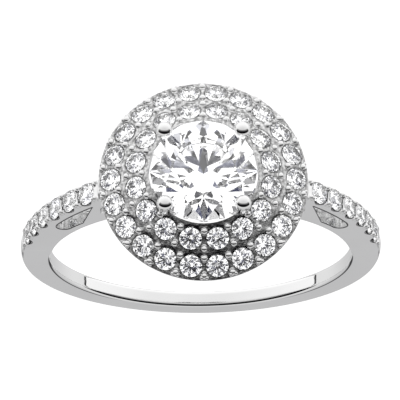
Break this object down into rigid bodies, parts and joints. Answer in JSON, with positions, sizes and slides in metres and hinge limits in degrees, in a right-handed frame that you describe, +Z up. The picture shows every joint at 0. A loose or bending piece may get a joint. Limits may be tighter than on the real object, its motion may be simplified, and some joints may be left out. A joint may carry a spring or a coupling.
{
  "type": "halo ring",
  "caption": "Finger ring with a round centre stone in ball-tipped claws, a wide sloping halo of small stones, and stone-set shoulders with leaf-shaped side windows.",
  "frame": {"origin": "middle of the box round the ring as it lies on its side, on the surface that it rests on", "axes": "+Z up from that surface, +Y from the head towards the back of the band, +X across the finger"},
  "size_m": [0.0206, 0.024, 0.0114],
  "materials": {
    "white_metal": "polished white precious metal",
    "clear_stone": "faceted and polished, colourless"
  },
  "bodies": {
    "root": {"ring_metal": "white_metal", "center_stone": "clear_stone", "inner_halo_stones": "clear_stone", "outer_halo_stones": "clear_stone", "left_shoulder_stones": "clear_stone", "right_shoulder_stones": "clear_stone"}
  },
  "joints": []
}
